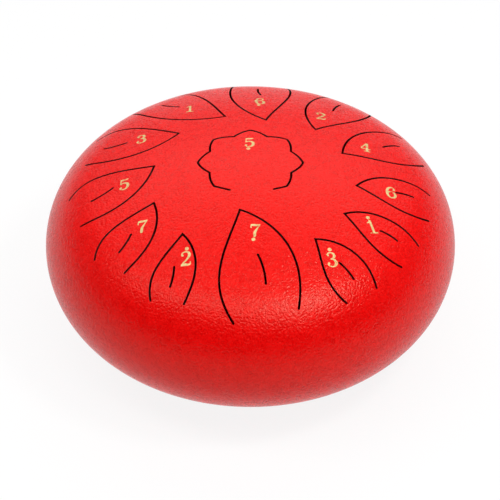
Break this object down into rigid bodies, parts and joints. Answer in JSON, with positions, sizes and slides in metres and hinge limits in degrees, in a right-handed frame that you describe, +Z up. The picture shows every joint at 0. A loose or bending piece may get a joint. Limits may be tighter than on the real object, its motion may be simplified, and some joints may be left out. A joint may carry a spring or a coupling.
{
  "type": "tongue drum",
  "caption": "Round steel tongue drum: a flattened red shell with leaf-shaped slit tongues round a lotus tongue, a sound hole below, and screwed rubber feet.",
  "frame": {"origin": "on the drum's axis, at the level of the surface that the feet stand on", "axes": "+Z up through the middle of the lotus tongue; -Y towards the player, where the lotus tongue's root and the longest leaf tongue lie; +X to the player's right"},
  "size_m": [0.305, 0.305, 0.1555],
  "materials": {
    "red_powder_coat": "fine orange-peel powder coat, satin, bright red",
    "black_rubber": "moulded, matt",
    "zinc_plated_steel": "bright zinc plate",
    "gold_foil": "pale gold numeral transfers, slightly worn"
  },
  "bodies": {
    "root": {"top_shell": "red_powder_coat", "bottom_shell": "red_powder_coat", "rim_weld": "red_powder_coat", "foot_1": "black_rubber", "foot_2": "black_rubber", "foot_3": "black_rubber", "foot_4": "black_rubber", "foot_washer_1": "zinc_plated_steel", "foot_washer_2": "zinc_plated_steel", "foot_washer_3": "zinc_plated_steel", "foot_washer_4": "zinc_plated_steel", "foot_screw_1": "zinc_plated_steel", "foot_screw_2": "zinc_plated_steel", "foot_screw_3": "zinc_plated_steel", "foot_screw_4": "zinc_plated_steel", "foot_nut_1": "zinc_plated_steel", "foot_nut_2": "zinc_plated_steel", "foot_nut_3": "zinc_plated_steel", "foot_nut_4": "zinc_plated_steel"}
  },
  "joints": []
}
